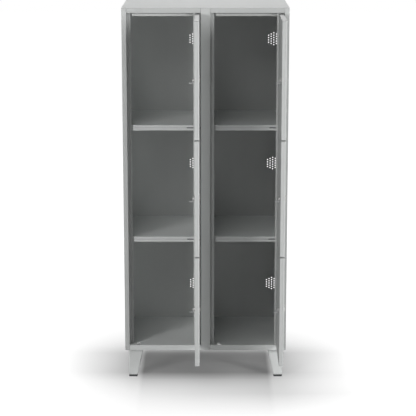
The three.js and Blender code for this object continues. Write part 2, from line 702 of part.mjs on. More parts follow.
const ROSETTE_BACK = DOOR_Y[0] - SEAM;
const ROSETTE_FRONT = ROSETTE_BACK - ROSETTE_THICKNESS;
const BARREL_END = DOOR_Y[1] + BARREL_REAR;
const CAM_FRONT = BARREL_END + SEAM;
const CAM_BACK = CAM_FRONT + CAM_THICKNESS;

function lockBody() {
  const bore = CORE_RADIUS + SEAM;
  const nut = [DOOR_Y[1] + SEAM, DOOR_Y[1] + SEAM + LOCK_NUT_THICKNESS];
  return turned([
    [bore, ROSETTE_FRONT],
    [ROSETTE_RADIUS - ROSETTE_CHAMFER, ROSETTE_FRONT],
    [ROSETTE_RADIUS, ROSETTE_FRONT + ROSETTE_CHAMFER_DEPTH],
    [ROSETTE_RADIUS, ROSETTE_BACK],
    [BARREL_RADIUS, ROSETTE_BACK],
    [BARREL_RADIUS, nut[0]],
    [LOCK_NUT_RADIUS, nut[0]],
    [LOCK_NUT_RADIUS, nut[1]],
    [BARREL_RADIUS, nut[1]],
    [BARREL_RADIUS, BARREL_END],
    [bore, BARREL_END],
  ]);
}

function lockCore() {
  const front = ROSETTE_FRONT - CORE_PROUD;
  const stub = pinBack(
    LOCK_X,
    LOCK_HEIGHT,
    [BARREL_END - CUT_OVERRUN, CAM_BACK + CORE_STUB_PAST_CAM],
    CORE_STUB_RADIUS,
    LOCK_SIDES,
  );
  const plug = pinBack(LOCK_X, LOCK_HEIGHT, [front, BARREL_END], CORE_RADIUS, LOCK_SIDES);
  const keySlot = block(
    [LOCK_X - KEY_SLOT_WIDTH / 2, LOCK_X + KEY_SLOT_WIDTH / 2],
    [front - CUT_OVERRUN, front + KEY_SLOT_DEPTH],
    [LOCK_HEIGHT - KEY_SLOT_LENGTH / 2, LOCK_HEIGHT + KEY_SLOT_LENGTH / 2],
  );
  return cut(join([plug, stub]), [keySlot]);
}

function lockCam() {
  const half = CAM_WIDTH / 2;
  const foot = LOCK_HEIGHT - CAM_REACH;
  const outline = new THREE.Shape();
  outline.moveTo(LOCK_X - half, foot);
  outline.lineTo(LOCK_X + half, foot);
  outline.absarc(LOCK_X, LOCK_HEIGHT, half, 0, Math.PI);
  const arm = backwards(new THREE.Shape(outline.getPoints(LOCK_SIDES / 2)), [CAM_FRONT, CAM_BACK]);
  const tongue = block(
    [LOCK_X - half, LOCK_X + half],
    [CAM_FRONT, DOOR_Y[1] + CAM_TONGUE],
    [foot, foot + CAM_THICKNESS],
  );
  const hole = pinBack(
    LOCK_X,
    LOCK_HEIGHT,
    [CAM_FRONT - CUT_OVERRUN, CAM_BACK + CUT_OVERRUN],
    CORE_STUB_RADIUS + SEAM,
    LOCK_SIDES,
  );
  return cut(join([arm, tongue]), [hole]);
}

function addDoor(column, tier) {
  const name = `${COLUMN_NAMES[column]}_${TIER_NAMES[tier]}`;
  const height = doorTop(tier) - doorBottom(tier);
  const door = new THREE.Group();
  door.position.set(columnLeft(column) + PIVOT_X, PIVOT_DEPTH, doorBottom(tier));
  door.rotation.z = DOOR_OPEN_ANGLE;
  parts.add(door);
  addPart(door, `door_pan_${name}`, doorPan(height), shellPaint());
  addPart(door, `door_liner_${name}`, doorLiner(height), linerPaint());
  addPart(door, `lock_body_${name}`, lockBody(), nickelPlate());
  addPart(door, `lock_core_${name}`, lockCore(), nickelPlate());
  addPart(door, `lock_cam_${name}`, lockCam(), zincPlate());
}

addSidePanel("side_panel_left", -1);
addSidePanel("side_panel_right", 1);
addPosts();
addTopCover();
addBottomTray();
addPartition();
addBackPanel();
for (const [name, side, atFront] of [
  ["front_left", -1, true],
  ["front_right", 1, true],
  ["rear_left", -1, false],
  ["rear_right", 1, false],
]) {
  addFoot(name, side, atFront);
}
COLUMN_NAMES.forEach((_, column) => {
  for (let tier = 1; tier < TIERS; tier++) addShelf(column, tier);
  for (let level = 0; level <= TIERS; level++) addHingePlate(column, level);
  TIER_NAMES.forEach((__, tier) => addDoor(column, tier));
});

export default parts;
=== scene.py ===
# %% [markdown]
# # A compartment locker, dressed for its picture
#
# The locker is two columns of three compartments in folded sheet steel. Its six doors stand open at a right
# angle, each carries a cam lock, and four tapered feet lift the body off the floor. The solid parts come
# from a CAD model and stay where they are. This lesson gives them their finishes, adds the small fasteners
# that hold such a cabinet together, and lights the whole like a product on a pale studio floor.

# %% Load the locker
import math

import bmesh
import bpy
from mathutils import Matrix, Vector


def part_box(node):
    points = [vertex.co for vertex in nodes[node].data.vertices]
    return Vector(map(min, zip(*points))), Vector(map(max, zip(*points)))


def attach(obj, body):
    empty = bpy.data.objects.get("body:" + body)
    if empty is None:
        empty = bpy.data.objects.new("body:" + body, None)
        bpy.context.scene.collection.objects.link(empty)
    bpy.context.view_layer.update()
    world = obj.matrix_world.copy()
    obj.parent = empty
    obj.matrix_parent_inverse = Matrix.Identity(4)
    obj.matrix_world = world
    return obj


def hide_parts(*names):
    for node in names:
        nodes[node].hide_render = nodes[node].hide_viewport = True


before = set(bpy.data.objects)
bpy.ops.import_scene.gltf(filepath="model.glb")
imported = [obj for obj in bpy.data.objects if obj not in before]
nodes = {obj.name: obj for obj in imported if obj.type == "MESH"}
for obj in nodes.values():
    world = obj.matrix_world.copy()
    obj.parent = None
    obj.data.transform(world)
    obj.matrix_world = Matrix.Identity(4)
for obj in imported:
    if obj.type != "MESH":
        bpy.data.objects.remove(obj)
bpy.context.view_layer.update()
MM = 0.001

# %% [markdown]
# ## The camera
#
# The picture is taken from the front, seven metres away and above the roof, so the eye looks down into
# every compartment: the floor of the lowest one opens up more than the shelves above. A long lens keeps the
# posts almost parallel. One could also shift the lens and keep the camera level, which makes the posts
# exactly parallel, but a shifted lens loses the object in every other view, so the camera is tilted down
# instead and only a small shift centres the locker in the square frame.

# %% Place the camera
PICTURE_WIDTH_PX = 416
FOCAL_PX = 1470
FILM_WIDTH_MM = 36
CAMERA_PLACE = Vector((12.4, -7082.5, 2468)) * MM
LOOKING_LEVEL = math.radians(90)
CAMERA_TILT = math.radians(12.08)
CAMERA_SHIFT = -0.045
CAMERA_SEES_TO = 100

camera_data = bpy.data.cameras.new("front_camera")
camera_data.sensor_width = FILM_WIDTH_MM
camera_data.lens = FOCAL_PX * FILM_WIDTH_MM / PICTURE_WIDTH_PX
camera_data.shift_y = CAMERA_SHIFT
camera_data.clip_end = CAMERA_SEES_TO
camera = bpy.data.objects.new("front_camera", camera_data)
camera.location = CAMERA_PLACE
camera.rotation_euler = (LOOKING_LEVEL - CAMERA_TILT, 0, 0)
bpy.context.scene.collection.objects.link(camera)
bpy.context.scene.camera = camera
print("lens", round(camera_data.lens, 1), "mm, tilted down", round(math.degrees(CAMERA_TILT), 1), "degrees")

# %% [markdown]
# ## A small kit for materials
#
# A finish is a network of shader nodes. Most of the finishes here need the same few moves: read the place
# on the piece in metres, run a noise through it, and send that noise to the colour, the roughness or the
# bump. The helpers below name those moves once. Values that are the same all over a surface are typed
# straight into the shader's own sockets.

# %% Helpers for colour and texture
FINE_DETAIL = 2.0
BROAD_DETAIL = 3.0
NOISE_SPAN = (0.3, 0.7)
BEVEL_SAMPLES = 4


def new_material(name):
    material = bpy.data.materials.new(name)
    material.use_nodes = True
    tree = material.node_tree
    shader = tree.nodes["Principled BSDF"]
    place = tree.nodes.new("ShaderNodeTexCoord").outputs["Object"]
    return material, tree, shader, place


def feed(tree, value, socket):
    if isinstance(value, bpy.types.NodeSocket):
        tree.links.new(value, socket)
    elif isinstance(value, tuple):
        socket.default_value = (*value, 1)
    else:
        socket.default_value = value


def stretched(tree, place, scale):
    mapping = tree.nodes.new("ShaderNodeMapping")
    mapping.inputs["Scale"].default_value = scale
    tree.links.new(place, mapping.inputs["Vector"])
    return mapping.outputs["Vector"]


def noise(tree, place, scale, detail=FINE_DETAIL):
    texture = tree.nodes.new("ShaderNodeTexNoise")
    texture.inputs["Scale"].default_value = scale
    texture.inputs["Detail"].default_value = detail
    tree.links.new(place, texture.inputs["Vector"])
    return texture.outputs["Fac"]


def between(tree, fac, low, high, source=NOISE_SPAN):
    ramp = tree.nodes.new("ShaderNodeMapRange")
    ramp.inputs["From Min"].default_value, ramp.inputs["From Max"].default_value = source
    ramp.inputs["To Min"].default_value, ramp.inputs["To Max"].default_value = low, high
    tree.links.new(fac, ramp.inputs["Value"])
    return ramp.outputs["Result"]


def mixed(tree, fac, first, second):
    mix = tree.nodes.new("ShaderNodeMix")
    mix.data_type = "RGBA"
    feed(tree, first, mix.inputs["A"])
    feed(tree, second, mix.inputs["B"])
    feed(tree, fac, mix.inputs["Factor"])
    return mix.outputs["Result"]


def bumped(tree, shader, height, distance, strength, edge):
    bump = tree.nodes.new("ShaderNodeBump")
    bump.inputs["Distance"].default_value = distance
    bump.inputs["Strength"].default_value = strength
    tree.links.new(height, bump.inputs["Height"])
    rounding = tree.nodes.new("ShaderNodeBevel")
    rounding.samples = BEVEL_SAMPLES
    rounding.inputs["Radius"].default_value = edge
    tree.links.new(rounding.outputs["Normal"], bump.inputs["Normal"])
    tree.links.new(bump.outputs["Normal"], shader.inputs["Normal"])


def shade(colour, factor):
    return tuple(channel * factor for channel in colour)


print("a noise is used from", NOISE_SPAN[0], "to", NOISE_SPAN[1], "of its range")

# %% [markdown]
# ## Small sums
#
# What limits a finish to a part of a piece is a mask, and a mask is often a small sum: how far a place is
# from a line, the larger of two slopes, one mask inside another. Each step of such a sum is one node, and
# the helpers below wire it. A place is first split into its three axes, so that each can be used by itself.


# %% Helpers for sums and places
def number_step(tree, operation, first, second=0.0):
    step = tree.nodes.new("ShaderNodeMath")
    step.operation = operation
    tree.links.new(first, step.inputs[0])
    feed(tree, second, step.inputs[1])
    return step.outputs[0]


def joined(tree, operation, values):
    result = values[0]
    for value in values[1:]:
        result = number_step(tree, operation, result, value)
    return result


def away_from(tree, value, centre):
    return number_step(tree, "ABSOLUTE", number_step(tree, "SUBTRACT", value, centre))


def axes(tree, vector):
    split = tree.nodes.new("ShaderNodeSeparateXYZ")
    tree.links.new(vector, split.inputs[0])
    return tuple(split.outputs)


def place_axes(tree):
    return axes(tree, tree.nodes.new("ShaderNodeTexCoord").outputs["Object"])


print("helpers for sums and places are ready")

# %% [markdown]
# ## Powder coat
#
# The sheets are sprayed with dry paint and baked. The skin that forms is a light, slightly greenish grey,
# with a low sheen and a fine texture like orange peel. Three noises make it: a very fine one for the peel,
# a middle one that varies the roughness, and a broad, faint one that keeps large panels from looking
# printed. A bevel node rounds the folded edges for the light, because a sheared sheet is never razor sharp.

# %% Mix the powder coat
SHELL_GREY = (0.585, 0.598, 0.592)
COAT_ROUGHNESS = 0.46
COAT_SHEEN = 0.4
ROUGHNESS_SPREAD = 0.05
CLOUD_SCALE = 2.6
CLOUD_TONES = (0.975, 1.02)
PATCH_SCALE = 55
PEEL_SCALE = 1400
PEEL_DEPTH = 0.00012
PEEL_STRENGTH = 0.25
FOLD_RADIUS = 0.0022


def powder_coat(name, tone=1.0, roughness=COAT_ROUGHNESS, sheen=COAT_SHEEN):
    material, tree, shader, place = new_material(f"{name}_powder_coat")
    colour = shade(SHELL_GREY, tone)
    darkest, lightest = [shade(colour, cloud_tone) for cloud_tone in CLOUD_TONES]
    cloud = between(tree, noise(tree, place, CLOUD_SCALE, BROAD_DETAIL), 0, 1)
    feed(tree, mixed(tree, cloud, darkest, lightest), shader.inputs["Base Color"])
    patch = noise(tree, place, PATCH_SCALE, BROAD_DETAIL)
    varied = between(tree, patch, roughness - ROUGHNESS_SPREAD, roughness + ROUGHNESS_SPREAD)
    feed(tree, varied, shader.inputs["Roughness"])
    bumped(tree, shader, noise(tree, place, PEEL_SCALE), PEEL_DEPTH, PEEL_STRENGTH, FOLD_RADIUS)
    shader.inputs["Specular IOR Level"].default_value = sheen
    return material


shell_coat = powder_coat("shell")
print("mixed", shell_coat.name, "with", len(shell_coat.node_tree.nodes), "nodes")

# %% [markdown]
# ## Tones by place
#
# A cabinet like this is usually sprayed in one grey. Here the coat still changes by place, because four
# lamps don't give the even light of the picture. Where a face came out darker or lighter than in the
# picture, its coat was toned until the greys agreed. Light and colour multiply, so this works, but such a
# tone isn't the paint's own colour, and other lamps would need other tones. Each one is a mix over the
# coat, driven by the place on the piece or by the way the surface faces. Several tones across a piece go
# into one colour ramp, which is shorter than a chain of mixes. The list for such a ramp gives each stop's
# distance from the left end in metres, and its tone as a share of the plain grey.

# %% Helpers that tone a coat by place
FACES_UP = (0.5, 0.9)
NEW_STOP = 0.5


# Paints light or shade into the coat where the mask is.
def painted_shading_where(material, mask, colour):
    tree = material.node_tree
    base = tree.nodes["Principled BSDF"].inputs["Base Color"]
    feed(tree, mixed(tree, mask, base.links[0].from_socket, colour), base)


# Paints light or shade on the faces that look up: above 1 is painted light, below 1 painted shade.
def upward_painted_shading(material, tone):
    tree = material.node_tree
    _, _, up = axes(tree, tree.nodes.new("ShaderNodeNewGeometry").outputs["Normal"])
    painted_shading_where(material, between(tree, up, 0, 1, source=FACES_UP), shade(SHELL_GREY, tone))


# Paints light and shade across a piece in one colour ramp.
def painted_shading_across(tree, place_x, left_end, stops):
    first, last = stops[0][0], stops[-1][0]
    ramp = tree.nodes.new("ShaderNodeValToRGB")
    elements = ramp.color_ramp.elements
    while len(elements) < len(stops):
        elements.new(NEW_STOP)
    for element, (distance, tone) in zip(elements, stops):
        element.position = (distance - first) / (last - first)
        element.color = (*shade(SHELL_GREY, tone), 1)
    reach = (left_end + first, left_end + last)
    tree.links.new(between(tree, place_x, 0, 1, source=reach), ramp.inputs["Fac"])
    return ramp.outputs["Color"]


tilts = [round(math.degrees(math.acos(slope))) for slope in reversed(FACES_UP)]
print("the upward tone is full up to a tilt of", tilts[0], "degrees and gone at", tilts[1])

# %% [markdown]
# ## Coats of the doors
#
# A door is two folded sheets, a pan outside and a liner inside. Both show on its free edge, side by side in
# two tones: the pan's coat is painted lighter, which is painted light, and its upward faces are painted
# darker, which is painted shade. The liner's edge keeps its tone. Its broad face, which looks across the
# opening, is painted darker, which is painted shade, and the change takes place about a millimetre behind
# the edge.

# %% Coat the doors
LINER_TONE = 0.97
LINER_FACE_PAINTED_SHADE = 0.63
LINER_ROUGHNESS = 0.5
LINER_EDGE = 0.0006
PAN_PAINTED_LIGHT = 1.13
PAN_UPWARD_PAINTED_SHADE = 0.72

liner_coat = powder_coat("liner", LINER_TONE, LINER_ROUGHNESS)
liner_tree = liner_coat.node_tree
liner_low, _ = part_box("door_liner_left_top")
edge_band = (liner_low.y + LINER_EDGE, liner_low.y + 2 * LINER_EDGE)
# Painted shade on the liner's broad face.
inner_face = between(liner_tree, place_axes(liner_tree)[1], 0, 1, source=edge_band)
painted_shading_where(liner_coat, inner_face, shade(SHELL_GREY, LINER_FACE_PAINTED_SHADE))
# Painted light on the pan, painted shade on its upward faces.
pan_coat = powder_coat("pan", PAN_PAINTED_LIGHT)
upward_painted_shading(pan_coat, PAN_UPWARD_PAINTED_SHADE)
print("the liner's edge tone ends", round(edge_band[0], 4), "to", round(edge_band[1], 4), "metres along Y")

# %% [markdown]
# ## Coats of the posts and the roof
#
# The posts are painted darker across their width, which is painted shade. It is darker still on the left
# post's stop and in a band on the centre post's right-hand stop, and the centre post's face is painted
# lighter on its left. That painted shade fades out towards the top, so the posts are painted lighter there.
# The roof piece has a painted shadow line in the recess over the doors, painted light on its upward faces
# and a coat painted a little darker, which is painted shade. The roof sees the lamps at a glancing angle, so
# its coat is also rougher and throws back less glare.

# %% Coat the posts and the roof
# The posts' painted shade fades out between these distances below their top, so their tops are painted
# lighter.
POST_FADE_BELOW_TOP = (0.1489, 0.0229)
# Painted shade across each post: distance from its left end and tone.
POST_PAINTED_SHADING = {
    "post_left": [(0, 0.9), (0.024, 0.9), (0.033, 0.56), (0.042, 0.56)],
    "post_centre": [(0.035, 1.04), (0.08, 0.9), (0.0815, 0.62), (0.087, 0.66), (0.094, 0.9)],
    "post_right": [(0.018, 0.9), (0.058, 0.9)],
}
# The roof's coat is painted a little darker, which is painted shade, and its upward faces lighter, which is
# painted light.
ROOF_PAINTED_SHADE = 0.93
ROOF_ROUGHNESS = 0.58
ROOF_SHEEN = 0.25
ROOF_UPWARD_PAINTED_LIGHT = 1.42
# A painted shadow line in the recess over the doors, under the fascia.
RECESS_PAINTED_SHADOW = 0.62
RECESS_HEIGHT = 0.0062
RECESS_FADE_BELOW = 0.001
RECESS_FADE_ABOVE = 0.0002


def post_coat(name, stops):
    coat = powder_coat(name)
    tree = coat.node_tree
    x, _, z = place_axes(tree)
    low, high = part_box(name)
    fade = [high.z - distance for distance in POST_FADE_BELOW_TOP]
    painted_shading_where(coat, between(tree, z, 1, 0, source=fade), painted_shading_across(tree, x, low.x, stops))
    return coat


post_coats = {name: post_coat(name, stops) for name, stops in POST_PAINTED_SHADING.items()}
roof_coat = powder_coat("roof", ROOF_PAINTED_SHADE, ROOF_ROUGHNESS, ROOF_SHEEN)
roof_tree = roof_coat.node_tree
_, _, roof_z = place_axes(roof_tree)
_, top_plate_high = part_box("hinge_plate_left_4")
recess_top = top_plate_high.z
recess_bottom = recess_top - RECESS_HEIGHT
above = between(roof_tree, roof_z, 0, 1, source=(recess_bottom - RECESS_FADE_BELOW, recess_bottom))
below = between(roof_tree, roof_z, 1, 0, source=(recess_top - RECESS_FADE_ABOVE, recess_top))
recess = number_step(roof_tree, "MULTIPLY", above, below)
painted_shading_where(roof_coat, recess, shade(SHELL_GREY, RECESS_PAINTED_SHADOW))
upward_painted_shading(roof_coat, ROOF_UPWARD_PAINTED_LIGHT)
print("the recess tone lies from", round(recess_bottom, 4), "to", round(recess_top, 4), "metres")

# %% [markdown]
# ## Coats of the feet, the tray and the shelves
#
# The shelf rails have a groove pressed along the middle of their height. In the picture it is a faint line,
# too shallow to change an outline, so the groove's shade is painted in the finish: a band of darker coat at
# that height, only on the front face. The distance from the middle of the rail, taken as a positive number,
# gives the band.

# %% Coat the feet, the tray and the shelves
# Painted light: the feet, the tray and the shelves are coated lighter than the plain grey, and the upward
# faces of the tray and the shelves lighter still.
FOOT_PAINTED_LIGHT = 1.26
TRAY_PAINTED_LIGHT = 1.24
TRAY_UPWARD_PAINTED_LIGHT = 1.36
SHELF_PAINTED_LIGHT = 1.05
SHELF_UPWARD_PAINTED_LIGHT = 1.42
SHELF_LEVELS = ("lower", "upper")
GROOVE_HALF = 0.0016
# The groove's shade is painted as a band of darker coat.
GROOVE_PAINTED_SHADE = 0.72


def rail_groove_shade(material, heights, front):
    tree = material.node_tree
    _, y, z = place_axes(tree)
    pressed = between(tree, y, 1, 0, source=(front, front + GROOVE_HALF))
    distances = [away_from(tree, z, height) for height in heights]
    lines = [between(tree, away, 1, 0, source=(GROOVE_HALF / 2, GROOVE_HALF)) for away in distances]
    grooves = number_step(tree, "MULTIPLY", joined(tree, "MAXIMUM", lines), pressed)
    painted_shading_where(material, grooves, shade(SHELL_GREY, GROOVE_PAINTED_SHADE))


foot_coat = powder_coat("foot", FOOT_PAINTED_LIGHT)
tray_coat = powder_coat("tray", TRAY_PAINTED_LIGHT)
upward_painted_shading(tray_coat, TRAY_UPWARD_PAINTED_LIGHT)
shelf_coat = powder_coat("shelf", SHELF_PAINTED_LIGHT)
upward_painted_shading(shelf_coat, SHELF_UPWARD_PAINTED_LIGHT)
shelf_boxes = [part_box(f"shelf_left_{level}") for level in SHELF_LEVELS]
rail_heights = [(low.z + high.z) / 2 for low, high in shelf_boxes]
rail_groove_shade(shelf_coat, rail_heights, shelf_boxes[0][0].y)
print("grooves in the shelf rails at", [round(height, 4) for height in rail_heights])

# %% [markdown]
# ## Coats of the back and the sides
#
# The back panel's inner face is painted lighter towards the left of each column and darker towards the
# right, painted light and painted shade that even out the shade the lamps leave across it. The distances
# count from the cabinet's left side. The mask ends within the sheet, so its outside keeps the plain coat.
# The picture doesn't show the sides. Spot-weld marks near the front and rear edges are likely there, and
# are drawn as small dents: the height is cut into equal pitches, and the distance from the middle of a
# pitch, together with the distance from the row, says how near the closest weld is.

# %% Coat the back and the sides
# Painted light and painted shade across the back panel's inner face: distance from the left side and tone.
BACK_LEFT_PAINTED_SHADING = [(0, 1.52), (0.06, 1.4), (0.13, 1.2), (0.2, 1.06), (0.27, 1.0), (0.399, 0.82)]
BACK_RIGHT_PAINTED_SHADING = [(0.401, 1.3), (0.465, 1.2), (0.53, 1.05), (0.6, 0.94), (0.7, 0.9), (0.8, 0.9)]
BACK_INNER_FACE = (0.0002, 0.0006)
WELD_PITCH = 0.14
WELD_RADIUS = 0.0032
WELD_FLAT_SHARE = 0.6
WELD_DEPTH = 0.0006
WELD_STRENGTH = 0.7
WELD_FROM_EDGE = 0.009
MID_PITCH = 0.5


def squared(tree, value):
    return number_step(tree, "POWER", value, 2.0)


def weld_dents(material, rows):
    tree = material.node_tree
    bump = tree.nodes["Principled BSDF"].inputs["Normal"].links[0].from_node
    _, y, z = place_axes(tree)
    pitches = number_step(tree, "FRACT", number_step(tree, "DIVIDE", z, WELD_PITCH))
    from_weld = number_step(tree, "SUBTRACT", pitches, MID_PITCH)
    up = squared(tree, number_step(tree, "MULTIPLY", from_weld, WELD_PITCH))
    marks = []
    for row in rows:
        along = squared(tree, number_step(tree, "SUBTRACT", y, row))
        away = number_step(tree, "SQRT", number_step(tree, "ADD", up, along))
        marks.append(between(tree, away, 0, 1, source=(WELD_RADIUS * WELD_FLAT_SHARE, WELD_RADIUS)))
    dent = tree.nodes.new("ShaderNodeBump")
    dent.inputs["Distance"].default_value = WELD_DEPTH
    dent.inputs["Strength"].default_value = WELD_STRENGTH
    tree.links.new(joined(tree, "MINIMUM", marks), dent.inputs["Height"])
    tree.links.new(bump.inputs["Normal"].links[0].from_socket, dent.inputs["Normal"])
    tree.links.new(dent.outputs["Normal"], bump.inputs["Normal"])


back_coat = powder_coat("back")
back_tree = back_coat.node_tree
back_x, back_y, _ = place_axes(back_tree)
back_low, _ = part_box("back_panel")
side_low, side_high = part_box("side_panel_left")
inner_face = between(back_tree, back_y, 1, 0, source=[back_low.y + depth for depth in BACK_INNER_FACE])
back_painted_shading = painted_shading_across(back_tree, back_x, side_low.x, [*BACK_LEFT_PAINTED_SHADING, *BACK_RIGHT_PAINTED_SHADING])
painted_shading_where(back_coat, inner_face, back_painted_shading)
side_coat = powder_coat("side")
weld_rows = [side_low.y + WELD_FROM_EDGE, side_high.y - WELD_FROM_EDGE]
weld_dents(side_coat, weld_rows)
print("rows of weld marks at", [round(row, 4) for row in weld_rows], "metres along Y")

# %% [markdown]
# ## Plated steel and dark plastic
#
# The lock's face is nickel plated and polished, the cam is zinc plated and duller, and the hinge plates are
# a darker steel, all with a faint drawn grain. That grain is one noise, squeezed along one or two axes, and
# it drives the roughness, the tone and the bump alike. The glides under the feet are a dark plastic with a
# slight moulded texture.

# %% Make the metals and the plastic
DRAWN_SCALE = 60
DRAWN_TONES = (0.9, 1.05)
DRAWN_ROUGHNESS = (-0.06, 0.08)
DRAWN_BUMP = (0.00005, 0.15)
METAL_EDGE = 0.0005
GRIT_SCALE = 900
GRIT_TONES = (0.8, 1.2)
GRIT_BUMP = (0.0002, 0.3)
PLASTIC_EDGE = 0.001


def plated(name, colour, roughness, grain):
    material, tree, shader, place = new_material(name)
    drawn = noise(tree, stretched(tree, place, grain), DRAWN_SCALE, BROAD_DETAIL)
    smoother, rougher = [roughness + change for change in DRAWN_ROUGHNESS]
    feed(tree, between(tree, drawn, smoother, rougher), shader.inputs["Roughness"])
    darkest, lightest = [shade(colour, tone) for tone in DRAWN_TONES]
    feed(tree, mixed(tree, between(tree, drawn, 0, 1), darkest, lightest), shader.inputs["Base Color"])
    bumped(tree, shader, drawn, *DRAWN_BUMP, METAL_EDGE)
    shader.inputs["Metallic"].default_value = 1.0
    return material


def moulded_plastic(name, colour, roughness):
    material, tree, shader, place = new_material(name)
    grit = noise(tree, place, GRIT_SCALE)
    darkest, lightest = [shade(colour, tone) for tone in GRIT_TONES]
    feed(tree, mixed(tree, grit, darkest, lightest), shader.inputs["Base Color"])
    varied = between(tree, grit, roughness - ROUGHNESS_SPREAD, roughness + ROUGHNESS_SPREAD)
    feed(tree, varied, shader.inputs["Roughness"])
    bumped(tree, shader, grit, *GRIT_BUMP, PLASTIC_EDGE)
    return material


nickel = plated("nickel_plate", (0.42, 0.42, 0.41), roughness=0.3, grain=(6, 1, 6))
zinc = plated("zinc_plate", (0.36, 0.365, 0.37), roughness=0.45, grain=(1, 8, 1))
hinge_steel = plated("hinge_plate_steel", (0.17, 0.173, 0.176), roughness=0.5, grain=(1, 8, 1))
glide_plastic = moulded_plastic("glide_plastic", (0.045, 0.047, 0.05), roughness=0.62)
print("made", ", ".join(material.name for material in (nickel, zinc, hinge_steel, glide_plastic)))

# %% [markdown]
# ## Which piece gets which finish
#
# Every solid piece arrives with a name, and the start of its name says what it is. One list of such starts
# keeps the choice in one place. A piece that isn't in the list, such as the partition, gets the plain coat.

# %% Give each solid piece its finish
finish_by_start = {
    **post_coats,
    "top_cover": roof_coat,
    "bottom_tray": tray_coat,
    "back_panel": back_coat,
    "side_panel_": side_coat,
    "shelf_": shelf_coat,
    "foot_": foot_coat,
    "door_liner_": liner_coat,
    "door_pan_": pan_coat,
    "glide_": glide_plastic,
    "hinge_plate_": hinge_steel,
    "lock_body_": nickel,
    "lock_core_": nickel,
    "lock_cam_": zinc,
}
for name, piece in nodes.items():
    finishes = [finish for start, finish in finish_by_start.items() if name.startswith(start)]
    piece.data.materials.clear()
    piece.data.materials.append(finishes[0] if finishes else shell_coat)
print("finishes given to", len(nodes), "pieces")

# %% [markdown]
# ## Turning round pieces
#
# A lock is mostly round: one profile turned about one axis. Blender's screw modifier could turn it, but
# then the profile and the piece are two things to keep together. Here a profile is a list of radius and
# depth in millimetres, and a loop sets copies of it round the axis and joins neighbours with faces. The
# same lines serve the rosette, the barrel, the plug, the washers and the nuts, since a nut is a turned
# piece of six sides. The same step that joins two neighbours also joins the sections of the folded pieces
# further down.

# %% Turn a profile about an axis
ROUND_SIDES = 48
ARC_STEPS = 5
SIDEWAYS = Matrix(((1, 0, 0), (0, 1, 0), (0, 0, 1)))
UPWARD = Matrix(((0, 1, 0), (0, 0, 1), (1, 0, 0)))


def join_rows(bm, here, there, closed=True):
    for i in range(len(here) - (0 if closed else 1)):
        j = (i + 1) % len(here)
        bm.faces.new((here[i], there[i], there[j], here[j]))


def add_turned(bm, profile, sides, origin, closed=True, turn=SIDEWAYS):
    rows = []
    for step in range(sides):
        angle = 2 * math.pi * step / sides
        around = [(depth, radius * math.cos(angle), radius * math.sin(angle)) for radius, depth in profile]
        rows.append([bm.verts.new(origin + turn @ Vector(point) * MM) for point in around])
    for step in range(sides):
        join_rows(bm, rows[step], rows[(step + 1) % sides], closed)
    return rows


def arc(centre, radius, first, last):
    angles = [math.radians(first + (last - first) * step / ARC_STEPS) for step in range(ARC_STEPS + 1)]
    return [(centre[0] + radius * math.cos(a), centre[1] + radius * math.sin(a)) for a in angles]


print("round pieces get", ROUND_SIDES, "sides and their rounded edges", ARC_STEPS, "steps")

# %% [markdown]
# ## Finishing a mesh
#
# Every added piece ends the same way. Corners that coincide are merged, the faces are turned to look
# outwards, and the surface is shaded smooth apart from its sharp edges. Then the piece is told which body
# it rides on, so that it moves with its door or its lock.

# %% Turn a mesh into a finished piece
MERGE_WITHIN = 0.00001
SMOOTH_ANGLE = math.radians(35)


def finished(bm, name, body, material):
    bmesh.ops.remove_doubles(bm, verts=bm.verts, dist=MERGE_WITHIN)
    bmesh.ops.recalc_face_normals(bm, faces=bm.faces)
    mesh = bpy.data.meshes.new(name)
    bm.to_mesh(mesh)
    bm.free()
    mesh.shade_smooth()
    mesh.set_sharp_from_angle(angle=SMOOTH_ANGLE)
    mesh.materials.append(material)
    piece = bpy.data.objects.new(name, mesh)
    bpy.context.scene.collection.objects.link(piece)
    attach(piece, body)
    return piece


print("edges stay sharp from", round(math.degrees(SMOOTH_ANGLE)), "degrees")

# %% [markdown]
# ## The cam locks
#
# Each door has one cam lock. Outside one sees a rosette with the plug and its key slot in the middle,
# inside the threaded barrel with its hexagon nut. The rosette has a wide soft shoulder that gathers the
# light in a ring, so its edge is drawn as an arc and not as one slope. The thread is drawn as plain
# grooves: at this size nobody sees that they don't climb.

# %% Build the lock housings
COLUMNS = ("left", "right")
TIERS = ("bottom", "middle", "top")
ROSETTE_RADIUS = 18.5
ROSETTE_THICKNESS = 3.5
SHOULDER_RADIUS = 2.8
RING_GROOVE = [(12.2, 0), (12.8, -0.35), (13.6, -0.35), (14.2, 0)]
MOUTH_CHAMFER = 0.5
BARREL_RADIUS = 9.5
THREAD_PITCH = 1.1
THREAD_DEPTH = 0.45
PLUG_RADIUS = 6.0
GAP = 0.3
NUT_SIDES = 6
NUT_RADIUS = 12.4
NUT_THICKNESS = 2.6
NUT_CHAMFER = 0.7


def nut_profile(radius, bore, near, far):
    slope = NUT_CHAMFER / 2
    outside = [(radius - NUT_CHAMFER, near), (radius, near - slope), (radius, far + slope)]
    return [(bore, near), *outside, (radius - NUT_CHAMFER, far), (bore, far)]


def threaded(radius, near, far):
    turns = round((near - far) / THREAD_PITCH)
    points = []
    for turn in range(turns):
        crest = near + (far - near) * turn / turns
        points += [(radius, crest), (radius - THREAD_DEPTH, crest - THREAD_PITCH / 2)]
    return [*points, (radius - THREAD_DEPTH, far)]


def lock_front(low, high):
    return Vector((high.x, (low.y + high.y) / 2, (low.z + high.z) / 2))


